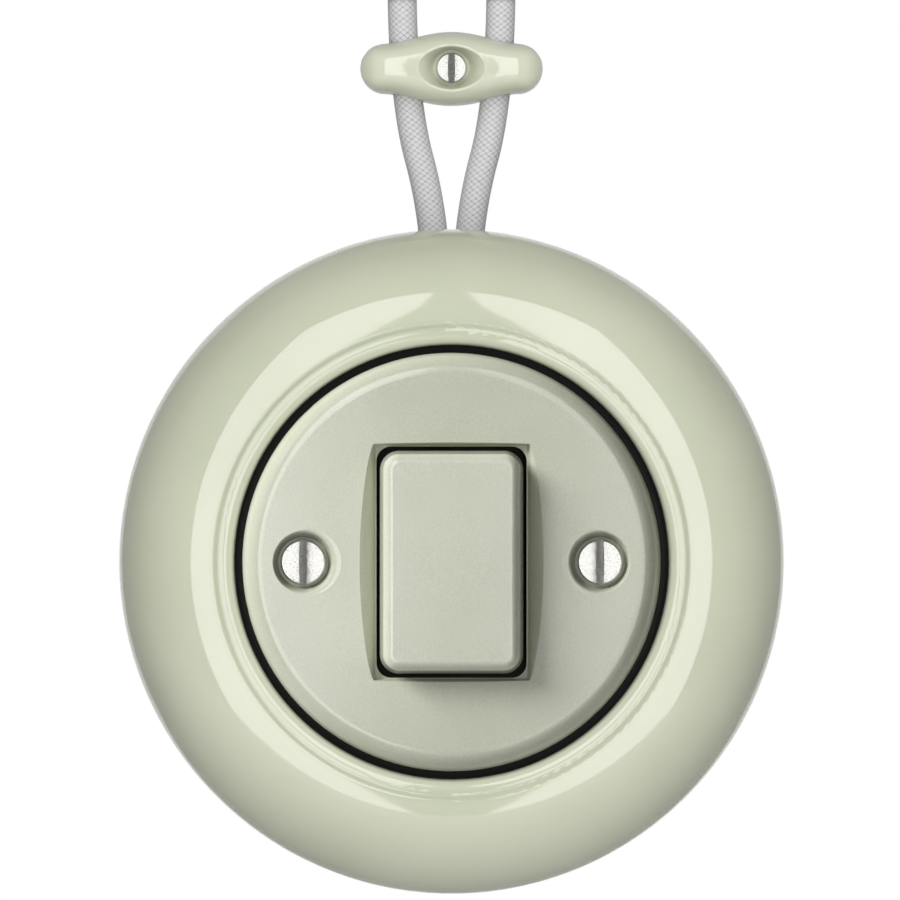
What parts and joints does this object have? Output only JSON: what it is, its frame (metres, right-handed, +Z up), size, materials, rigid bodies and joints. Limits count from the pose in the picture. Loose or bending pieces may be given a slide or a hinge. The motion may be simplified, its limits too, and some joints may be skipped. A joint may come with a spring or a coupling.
{
  "type": "push button light switch",
  "caption": "Round surface-mounted light switch: thick rounded ring, domed disc, tall rectangular push button, top cable entry with two textile wires and a cleat.",
  "frame": {"origin": "centre of the switch's back, on the wall", "axes": "+X to the right, +Z up the wall towards the wires, +Y into the wall; the button faces -Y"},
  "size_m": [0.1, 0.0421, 0.142],
  "materials": {
    "glazed_porcelain": "glossy glaze",
    "satin_porcelain": "satin glaze",
    "moulded_base": "matte",
    "moulded_carrier": "matte",
    "zinc_plated_steel": "satin",
    "nickel_plated_steel": "polished",
    "contact_brass": "satin",
    "contact_copper": "satin",
    "contact_silver": "polished",
    "spring_steel": "drawn",
    "textile_sleeve": "braided",
    "core_insulation": "smooth",
    "tinned_ferrule": "satin"
  },
  "bodies": {
    "root": {"housing_ring": "glazed_porcelain", "cover_disc": "satin_porcelain", "cleat_top": "glazed_porcelain", "cleat_base": "glazed_porcelain", "base_plate": "moulded_base", "switch_body": "moulded_base", "mounting_yoke": "zinc_plated_steel", "yoke_screws": "zinc_plated_steel", "terminal_screws": "zinc_plated_steel", "cleat_nut": "zinc_plated_steel", "cover_screws": "nickel_plated_steel", "cleat_screw": "nickel_plated_steel", "fixed_contact_right": "contact_copper", "fixed_contact_left": "contact_copper", "conductor_tips": "contact_copper", "terminal_right": "contact_brass", "terminal_left": "contact_brass", "fixed_tips": "contact_silver", "return_springs": "spring_steel", "wire_right": "textile_sleeve", "wire_left": "textile_sleeve", "core_right": "core_insulation", "core_left": "core_insulation", "end_ferrules": "tinned_ferrule"},
    "button": {"button_cap": "satin_porcelain", "button_carrier": "moulded_carrier", "contact_bridge": "contact_copper", "moving_tips": "contact_silver", "plunger_clip": "spring_steel", "contact_spring": "spring_steel"}
  },
  "joints": [
    {"name": "button_press", "type": "slide", "parent": "root", "child": "button", "axis": [0, 1, 0], "range_m": [0, 0.003], "stiffness_N_per_m": 800, "springref_m": -0.004, "deforming": ["return_springs"]}
  ]
}
